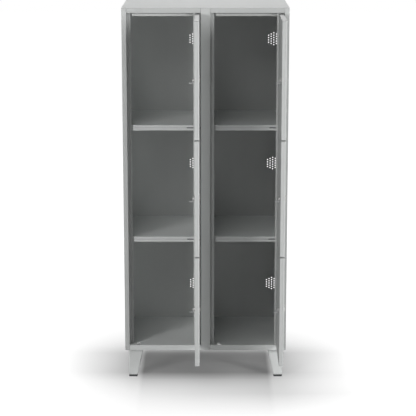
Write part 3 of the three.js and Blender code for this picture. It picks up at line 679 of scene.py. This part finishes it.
def lock_housing(column, tier):
    node = f"lock_body_{column}_{tier}"
    low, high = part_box(node)
    liner_low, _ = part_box(f"door_liner_{column}_{tier}")
    origin = lock_front(low, high)
    end = (low.x - high.x) / MM
    seat = (liner_low.x - high.x) / MM - GAP
    bore = PLUG_RADIUS + GAP
    shoulder = arc((ROSETTE_RADIUS - SHOULDER_RADIUS, -SHOULDER_RADIUS), SHOULDER_RADIUS, 90, 0)
    face = [(bore, end), (bore, -MOUTH_CHAMFER), (bore + MOUTH_CHAMFER, 0), *RING_GROOVE]
    barrel = [(ROSETTE_RADIUS, -ROSETTE_THICKNESS), *threaded(BARREL_RADIUS, -ROSETTE_THICKNESS, end)]
    bm = bmesh.new()
    add_turned(bm, [*face, *shoulder, *barrel], ROUND_SIDES, origin)
    nut = nut_profile(NUT_RADIUS, BARREL_RADIUS - THREAD_DEPTH, seat, seat - NUT_THICKNESS)
    add_turned(bm, nut, NUT_SIDES, origin)
    piece = finished(bm, f"cam_lock_{column}_{tier}", f"door_{column}_{tier}", nickel)
    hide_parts(node)
    return piece


doors = [(column, tier) for column in COLUMNS for tier in TIERS]
housings = [lock_housing(column, tier) for column, tier in doors]
print(len(housings), "lock housings of", len(housings[0].data.polygons), "faces each")

# %% [markdown]
# ## The plugs
#
# The plug is the part of the lock that the key turns. It is a turned side with a flat face round a sunk
# slot. The face is filled with triangles between the round rim and the slot's mouth, which is quicker and
# cleaner than a boolean cut. At its other end a thin stub carries the nut that holds the cam.

# %% Build the plugs with their key slots
KEY_SLOT = (1.4, 7.0, 3.0)
PLUG_CHAMFER = 0.4
STUB_RADIUS = 2.4
STUB_NUT_RADIUS = 5.4
STUB_NUT_GAP = 0.1
STUB_PAST_NUT = 0.3
CAM_THICKNESS = 3.0


def ring_pairs(ring):
    return list(zip(ring, [*ring[1:], ring[0]]))


def lock_plug(column, tier):
    node = f"lock_core_{column}_{tier}"
    low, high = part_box(node)
    _, cam_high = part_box(f"lock_cam_{column}_{tier}")
    origin = lock_front(low, high)
    end = (low.x - high.x) / MM
    cam_front = (cam_high.x - high.x) / MM
    cam_back = cam_front - CAM_THICKNESS
    wide, tall, deep = KEY_SLOT
    bm = bmesh.new()
    outside = [(PLUG_RADIUS - PLUG_CHAMFER, 0), (PLUG_RADIUS, -PLUG_CHAMFER), (PLUG_RADIUS, cam_front + GAP)]
    rows = add_turned(bm, [*outside, (0, cam_front + GAP)], ROUND_SIDES, origin, closed=False)
    rim = [row[0] for row in rows]
    corners = [(-wide / 2, -tall / 2), (wide / 2, -tall / 2), (wide / 2, tall / 2), (-wide / 2, tall / 2)]
    mouth = [bm.verts.new(origin + Vector((0, y, z)) * MM) for y, z in corners]
    bottom = [bm.verts.new(origin + Vector((-deep, y, z)) * MM) for y, z in corners]
    border = [bm.edges.get(pair) for pair in ring_pairs(rim)]
    border += [bm.edges.new(pair) for pair in ring_pairs(mouth)]
    bmesh.ops.triangle_fill(bm, edges=border, use_beauty=True)
    join_rows(bm, mouth, bottom)
    bm.faces.new(bottom)
    nut = nut_profile(STUB_NUT_RADIUS, STUB_RADIUS, cam_back - STUB_NUT_GAP, end + STUB_PAST_NUT)
    add_turned(bm, nut, NUT_SIDES, origin)
    stub = [(0, cam_back), (STUB_RADIUS, cam_back), (STUB_RADIUS, end + PLUG_CHAMFER)]
    add_turned(bm, [*stub, (STUB_RADIUS - PLUG_CHAMFER, end), (0, end)], ROUND_SIDES, origin, closed=False)
    piece = finished(bm, f"lock_plug_{column}_{tier}", f"lock_{column}_{tier}", nickel)
    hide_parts(node)
    return piece


plugs = [lock_plug(column, tier) for column, tier in doors]
print(len(plugs), "plugs of", len(plugs[0].data.polygons), "faces each")

# %% [markdown]
# ## The cams
#
# The cam is a short lever bent from thick strip. Its round head sits on the end of the plug, and its tongue
# turns inwards at the foot to catch behind the door stop. The piece is a bent section carried across the
# strip's width, with the top of each section following the round head. The bend itself is an arc, and the
# metal's bevel node softens the long edges, which a press leaves slightly rounded.

# %% Build the cams
CAM_BEND = 1.8
CAM_SECTIONS = 16


def cam_lever(column, tier):
    node = f"lock_cam_{column}_{tier}"
    low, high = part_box(node)
    half_width = (high.y - low.y) / 2
    middle_y = (high.y + low.y) / 2
    head_z = high.z - half_width
    bend = CAM_BEND * MM
    inside_x = high.x - CAM_THICKNESS * MM
    inside_z = low.z + CAM_THICKNESS * MM
    outer = arc((high.x - bend, low.z + bend), bend, 0, -90)
    bm = bmesh.new()
    sections = []
    for step in range(CAM_SECTIONS + 1):
        across = half_width * (2 * step / CAM_SECTIONS - 1)
        top = head_z + math.sqrt(max(half_width**2 - across**2, 0))
        inner = [(low.x, low.z), (low.x, inside_z), (inside_x, inside_z), (inside_x, top)]
        outline = [(high.x, top), *outer, *inner]
        sections.append([bm.verts.new((x, middle_y + across, z)) for x, z in outline])
    for here, there in zip(sections, sections[1:]):
        join_rows(bm, here, there)
    bm.faces.new(sections[0])
    bm.faces.new(sections[-1])
    piece = finished(bm, f"cam_lever_{column}_{tier}", f"lock_{column}_{tier}", zinc)
    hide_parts(node)
    return piece


levers = [cam_lever(column, tier) for column, tier in doors]
print(len(levers), "cams of", len(levers[0].data.polygons), "faces each")

# %% [markdown]
# ## Washers on the hinge pins
#
# A door hangs on two steel pins, one in the plate below it and one in the plate above. A thin plastic
# washer on each pin, which is a guess here, keeps the door's edge off the plate, so that the coat isn't
# rubbed away. Each washer fills the space between the plate and the door with a little play, so its
# thickness is measured and not typed in. The lowest plate has a pin only on its upper side and the highest
# only on its lower side, so for these two the plate is found from the flat end of its box.

# %% Build the washers
PLATE_LEVELS = (1, 2, 3, 4)
PLATE_THICKNESS = 3.0 * MM
PLATE_FRONT_TO_PIN = 5.0 * MM
PLATE_SIDE_TO_PIN = 8.0 * MM
WASHER_PLAY = 0.12
WASHER_RADIUS = 6.2
WASHER_BORE = 3.2
WASHER_EDGE = 0.15


def washer_profile(thickness):
    edge = min(WASHER_EDGE, thickness / 3)
    outside = [(WASHER_RADIUS - edge, 0), (WASHER_RADIUS, edge), (WASHER_RADIUS, thickness - edge)]
    return [(WASHER_BORE, 0), *outside, (WASHER_RADIUS - edge, thickness), (WASHER_BORE, thickness)]


def hinge_washers(column, level):
    low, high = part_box(f"hinge_plate_{column}_{level}")
    is_lowest, is_highest = level == PLATE_LEVELS[0], level == PLATE_LEVELS[-1]
    middle_z = (low.z + high.z) / 2
    if is_lowest:
        middle_z = low.z + PLATE_THICKNESS / 2
    if is_highest:
        middle_z = high.z - PLATE_THICKNESS / 2
    spaces = []
    if not is_highest:
        door_low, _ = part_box(f"door_pan_{column}_{TIERS[level - 1]}")
        spaces.append((middle_z + PLATE_THICKNESS / 2, door_low.z))
    if not is_lowest:
        _, door_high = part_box(f"door_pan_{column}_{TIERS[level - 2]}")
        spaces.append((door_high.z, middle_z - PLATE_THICKNESS / 2))
    bm = bmesh.new()
    for start, end in spaces:
        thickness = (end - start) / MM - 2 * WASHER_PLAY
        foot = Vector((high.x - PLATE_SIDE_TO_PIN, low.y + PLATE_FRONT_TO_PIN, start + WASHER_PLAY * MM))
        add_turned(bm, washer_profile(thickness), ROUND_SIDES, foot, turn=UPWARD)
    return finished(bm, f"hinge_washers_{column}_{level}", "cabinet", glide_plastic)


washers = [hinge_washers(column, level) for column in COLUMNS for level in PLATE_LEVELS]
print(len(washers), "sets of washers")

# %% [markdown]
# ## Bolts in the feet
#
# A stud stands on each glide and comes up through the bottom of the foot, where a washer and a hexagon nut
# hold it. Turning the stud levels the locker. The picture doesn't show it, as each foot is open only on the
# side that faces the middle of the cabinet's depth. It is made of the same turned profiles as the locks.

# %% Set the studs, washers and nuts
FOOT_WALL = 2.0
FOOT_ABOVE_GLIDE = 0.3
STUD_RADIUS = 4.0
STUD_LENGTH = 24.0
STUD_TIP = 0.6
STUD_NUT_RADIUS = 7.5
STUD_NUT_HEIGHT = 6.5
STUD_WASHER_RADIUS = 2 * STUD_RADIUS
STUD_WASHER_TOP = 1.4
SEAT_GAP = 0.1


def foot_bolt(end, side):
    low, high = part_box(f"glide_{end}_{side}")
    seat = high.z + (FOOT_ABOVE_GLIDE + FOOT_WALL + SEAT_GAP) * MM
    origin = Vector(((low.x + high.x) / 2, (low.y + high.y) / 2, seat))
    bm = bmesh.new()
    thread = threaded(STUD_RADIUS, STUD_LENGTH - STUD_TIP, 0)
    stud = [(0, STUD_LENGTH), (STUD_RADIUS - STUD_TIP, STUD_LENGTH), *thread, (0, 0)]
    add_turned(bm, stud, ROUND_SIDES, origin, closed=False, turn=UPWARD)
    bore = STUD_RADIUS + SEAT_GAP
    thickness = STUD_WASHER_TOP - SEAT_GAP
    washer = [(bore, 0), (STUD_WASHER_RADIUS, 0), (STUD_WASHER_RADIUS, thickness), (bore, thickness)]
    add_turned(bm, washer, ROUND_SIDES, origin, turn=UPWARD)
    nut = nut_profile(STUD_NUT_RADIUS, bore, STUD_WASHER_TOP + STUD_NUT_HEIGHT, STUD_WASHER_TOP)
    add_turned(bm, nut, NUT_SIDES, origin, turn=UPWARD)
    return finished(bm, f"foot_bolt_{end}_{side}", "cabinet", zinc)


bolts = [foot_bolt(end, side) for end in ("front", "rear") for side in COLUMNS]
print(len(bolts), "foot bolts")

# %% [markdown]
# ## Channels behind the rail slots
#
# Each shelf rail has a long slot beside the hinge, which reads as a dark dash. What lies behind it isn't
# seen in the picture. A short channel of dark steel that guides the hinge plate is a guess that fits. The
# channel is a folded section, open to the front, carried along its length: drawing the section once and
# joining two copies of it is simpler than bending a plate with modifiers.

# %% Fold the channels
SHEET_THICKNESS = 0.8 * MM
CHANNEL_FROM_PIN = (0.0585, 0.0248)
CHANNEL_DEPTH = 0.0085
CHANNEL_HALF_HEIGHT = 0.0046
CHANNEL_SHEET = 0.0008
CHANNEL_BEND = 0.0014
BEHIND_RAIL = 0.0003
PLATE_BESIDE_SHELF = {"lower": 2, "upper": 3}


def channel_section(sheet):
    half_height, depth, radius = CHANNEL_HALF_HEIGHT - sheet, CHANNEL_DEPTH - sheet, CHANNEL_BEND - sheet
    top = arc((depth - radius, half_height - radius), radius, 90, 0)
    bottom = [(y, -z) for y, z in reversed(top)]
    return [(0, half_height), *top, *bottom, (0, -half_height)]


def slot_channel(column, level):
    shelf_low, shelf_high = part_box(f"shelf_{column}_{level}")
    _, plate_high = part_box(f"hinge_plate_{column}_{PLATE_BESIDE_SHELF[level]}")
    pin_x = plate_high.x - PLATE_SIDE_TO_PIN
    front = shelf_low.y + SHEET_THICKNESS + BEHIND_RAIL
    centre_z = (shelf_low.z + shelf_high.z) / 2
    outer, inner = channel_section(0), channel_section(CHANNEL_SHEET)
    bm = bmesh.new()
    ends = []
    for offset in CHANNEL_FROM_PIN:
        section = [*outer, *reversed(inner)]
        ends.append([bm.verts.new((pin_x - offset, front + y, centre_z + z)) for y, z in section])
    join_rows(bm, *ends)
    for end in ends:
        outside, inside = end[: len(outer)], end[len(outer) :]
        join_rows(bm, outside, inside[::-1], closed=False)
    return finished(bm, f"slot_channel_{column}_{level}", "cabinet", hinge_steel)


channels = [slot_channel(column, level) for column in COLUMNS for level in SHELF_LEVELS]
print(len(channels), "slot channels of", len(channels[0].data.polygons), "faces each")

# %% [markdown]
# ## Rivets at the back
#
# The picture doesn't show the back. Blind rivets are a usual way to hold such a panel: down the middle into
# the partition, along each shelf, and through its rear flanges into the side panels. Each rivet is a low
# dome with a small crater where the mandrel broke off. One mesh holds them all, because they share a body
# and a finish, and a single profile turned at every place keeps them alike.

# %% Set the rivets
RIVET_RADIUS = 3.4
RIVET_HEIGHT = 1.1
MANDREL_RADIUS = 1.1
MANDREL_DEPTH = 0.5
CRATER_FLOOR_SHARE = 0.9
DOME_STEPS = 5
RIVET_SIDES = 20
RIVET_LIFT = 0.05
RIVET_PITCH = 0.14
RIVET_FROM_CORNER = 0.05
RIVET_FROM_EDGE = 0.009
REARWARD = Matrix(((0, 1, 0), (1, 0, 0), (0, 0, 1)))
LEFTWARD = Matrix(((-1, 0, 0), (0, 1, 0), (0, 0, 1)))


def rivet_profile():
    dome = []
    for step in range(DOME_STEPS + 1):
        share = step / DOME_STEPS
        radius = RIVET_RADIUS + (MANDREL_RADIUS - RIVET_RADIUS) * share
        dome.append((radius, RIVET_HEIGHT * math.sin(share * math.pi / 2)))
    floor_height = RIVET_HEIGHT - MANDREL_DEPTH
    return [(0, 0), *dome, (MANDREL_RADIUS * CRATER_FLOOR_SHARE, floor_height), (0, floor_height)]


def evenly(first, last):
    first, last = first + RIVET_FROM_CORNER, last - RIVET_FROM_CORNER
    count = max(1, round((last - first) / RIVET_PITCH))
    return [first + (last - first) * step / count for step in range(count + 1)]


panel_low, panel_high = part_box("back_panel")
partition_low, partition_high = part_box("centre_partition")
rear_face = panel_low.y + SHEET_THICKNESS + RIVET_LIFT * MM
partition_x = (partition_low.x + partition_high.x) / 2
panel_heights = evenly(panel_low.z, panel_high.z)
places = [((partition_x, rear_face, z), REARWARD) for z in panel_heights]
for column in COLUMNS:
    for level in SHELF_LEVELS:
        low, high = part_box(f"shelf_{column}_{level}")
        places += [((x, rear_face, high.z - RIVET_FROM_EDGE), REARWARD) for x in evenly(low.x, high.x)]
flange_x = panel_high.x - SHEET_THICKNESS - RIVET_LIFT * MM
flange_y = panel_high.y - RIVET_FROM_EDGE
for z in panel_heights:
    places += [((-flange_x, flange_y, z), SIDEWAYS), ((flange_x, flange_y, z), LEFTWARD)]
bm = bmesh.new()
for place, turn in places:
    add_turned(bm, rivet_profile(), RIVET_SIDES, Vector(place), closed=False, turn=turn)
rivets = finished(bm, "back_rivets", "cabinet", zinc)
print(len(places), "rivets,", len(rivets.data.polygons), "faces")

# %% [markdown]
# ## The floor
#
# A studio floor is a sheet of white paper. It has to catch the soft shadow under the locker and otherwise
# vanish into the white behind. The floor's shader therefore shows the camera a dark lit surface with a
# white glow on top, which is full far from the locker and weak beneath it, while the locker sees only an
# ordinary pale floor. Light Path's ray outputs tell the two apart. Mirrored and transmitted rays count as
# seeing too, so that metal shows the same white.

# %% Lay the floor
WHITE = (1.0, 1.0, 1.0)
FLOOR_REACH = 20.0
FIBRE_SCALE = 300
PAPER_TONES = (0.79, 0.81)
PAPER_ROUGHNESS = 0.6
SEEN_PAPER = 0.25
SEEING_RAYS = ("Is Camera Ray", "Is Glossy Ray", "Is Transmission Ray")


def seen_directly(tree):
    path = tree.nodes.new("ShaderNodeLightPath")
    return joined(tree, "MAXIMUM", [path.outputs[ray] for ray in SEEING_RAYS])


paper, tree, shader, place = new_material("floor_paper")
fibre = noise(tree, place, FIBRE_SCALE)
pale = mixed(tree, fibre, *[shade(WHITE, tone) for tone in PAPER_TONES])
feed(tree, mixed(tree, seen_directly(tree), pale, shade(WHITE, SEEN_PAPER)), shader.inputs["Base Color"])
shader.inputs["Specular IOR Level"].default_value = 0.0
shader.inputs["Roughness"].default_value = PAPER_ROUGHNESS
corners = [(-1, -1), (1, -1), (1, 1), (-1, 1)]
floor_mesh = bpy.data.meshes.new("floor")
floor_mesh.from_pydata([(x * FLOOR_REACH, y * FLOOR_REACH, 0) for x, y in corners], [], [(0, 1, 2, 3)])
floor_mesh.materials.append(paper)
floor = bpy.data.objects.new("floor", floor_mesh)
bpy.context.scene.collection.objects.link(floor)
print("floor of", 2 * FLOOR_REACH, "metres")

# %% [markdown]
# ## The shade on the floor
#
# How the glow weakens near the locker was fitted to the picture's floor. The shade has its own slope on the
# left and on the right. It is deepest under the middle of the body, and in front and behind it dies away
# exponentially. Beneath each stack of open doors lies one more soft patch. So most of the shade is drawn,
# and only the rest is cast by the lamps. The drawn share stays where it is when the doors move.

# %% Draw the shade
SHADE_LEFT = (-0.779, -0.218)
SHADE_RIGHT = (0.187, 0.819)
BODY_SHADE = (0.312, 0.413)
SHADE_DEPTH = 0.626
SHADE_FALL_PER_METRE = 3.61
UNDER_FROM = (0.152, 0.257)
UNDER_DEPTH = 0.269
DOOR_SHADE_DEPTHS = (0.034, 0.206)
DOOR_SHADE_Y = -0.2955
DOOR_SHADE_REACH = (0.703, 0.33)

body_low, body_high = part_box("top_cover")
middle = (body_low + body_high) / 2
half_depth = (body_high.y - body_low.y) / 2
x, y, _ = axes(tree, place)
away_x, away_y = away_from(tree, x, middle.x), away_from(tree, y, middle.y)
from_left = between(tree, x, 0, 1, source=SHADE_LEFT)
from_right = between(tree, x, 1, 0, source=SHADE_RIGHT)
under_body = between(tree, away_x, 1, 0, source=BODY_SHADE)
beside = number_step(tree, "MAXIMUM", number_step(tree, "MINIMUM", from_left, from_right), under_body)
outside = (half_depth, half_depth + FLOOR_REACH)
exponent = between(tree, away_y, 0, -SHADE_FALL_PER_METRE * FLOOR_REACH, source=outside)
fall = number_step(tree, "EXPONENT", exponent)
depth = between(tree, away_y, SHADE_DEPTH + UNDER_DEPTH, SHADE_DEPTH, source=UNDER_FROM)
shades = [joined(tree, "MULTIPLY", [beside, fall, depth])]
along_door = between(tree, away_from(tree, y, DOOR_SHADE_Y), 1, 0, source=(0, DOOR_SHADE_REACH[1]))
for door_x, door_depth in zip((middle.x, body_high.x), DOOR_SHADE_DEPTHS):
    from_door = away_from(tree, x, door_x)
    across_door = between(tree, from_door, door_depth, 0, source=(0, DOOR_SHADE_REACH[0]))
    shades.append(number_step(tree, "MULTIPLY", across_door, along_door))
glow = between(tree, joined(tree, "ADD", shades), 1, 0, source=(0, 1))
white = tree.nodes.new("ShaderNodeEmission")
feed(tree, number_step(tree, "MULTIPLY", glow, seen_directly(tree)), white.inputs["Strength"])
both = tree.nodes.new("ShaderNodeAddShader")
tree.links.new(shader.outputs["BSDF"], both.inputs[0])
tree.links.new(white.outputs["Emission"], both.inputs[1])
tree.links.new(both.outputs["Shader"], tree.nodes["Material Output"].inputs["Surface"])
print("the shade is a sum of", len(shades), "parts")

# %% [markdown]
# ## The background
#
# The world works as the floor does. Seen directly or in the metal it is plain white, but it lights the
# locker only a little, so that the lamps decide how the steel looks.

# %% Colour the world
WORLD_LIGHT = 0.04
WORLD_SEEN = 1.0

world = bpy.data.worlds.new("studio_world")
bpy.context.scene.world = world
world.use_nodes = True
sky = world.node_tree
background = sky.nodes["Background"]
feed(sky, WHITE, background.inputs["Color"])
level = between(sky, seen_directly(sky), WORLD_LIGHT, WORLD_SEEN, source=(0, 1))
feed(sky, level, background.inputs["Strength"])
print("the world is seen at", WORLD_SEEN, "and lights at", WORLD_LIGHT)

# %% [markdown]
# ## Light
#
# Four round area lamps light the locker. Two of nearly the same strength stand low in front, one on each
# side: the open doors turn their light into a slanting shade across each compartment's floor. A weak one
# hangs higher in front and fills the middle, and a broad one behind and above makes the roof the brightest
# face. Light adds up, so each lamp was first seen alone and then given the strength at which the sum of all
# four came closest to the picture. The larger the panel, the softer the edge of its shade.

# %% Hang the lamps
AIM = Vector((0, 0, 0.9))


def lamp(name, azimuth, elevation, distance, size, watts):
    data = bpy.data.lights.new(name, "AREA")
    data.shape = "DISK"
    data.size = size
    data.energy = watts
    piece = bpy.data.objects.new(name, data)
    turn, lift = math.radians(azimuth), math.radians(elevation)
    way = Vector((math.sin(turn) * math.cos(lift), -math.cos(turn) * math.cos(lift), math.sin(lift)))
    piece.location = AIM + way * distance
    piece.rotation_euler = (-way).to_track_quat("-Z", "Y").to_euler()
    bpy.context.scene.collection.objects.link(piece)
    return piece


lamps = [
    lamp("key_lamp", azimuth=-40, elevation=12, distance=6.5, size=2.0, watts=172),
    lamp("right_lamp", azimuth=50, elevation=15, distance=6.5, size=2.0, watts=186),
    lamp("front_lamp", azimuth=-15, elevation=40, distance=6.5, size=2.0, watts=28),
    lamp("roof_lamp", azimuth=180, elevation=45, distance=6.0, size=3.0, watts=120),
]
bpy.context.scene.view_settings.view_transform = "Standard"
print(len(lamps), "lamps of", sum(piece.data.energy for piece in lamps), "watts together")
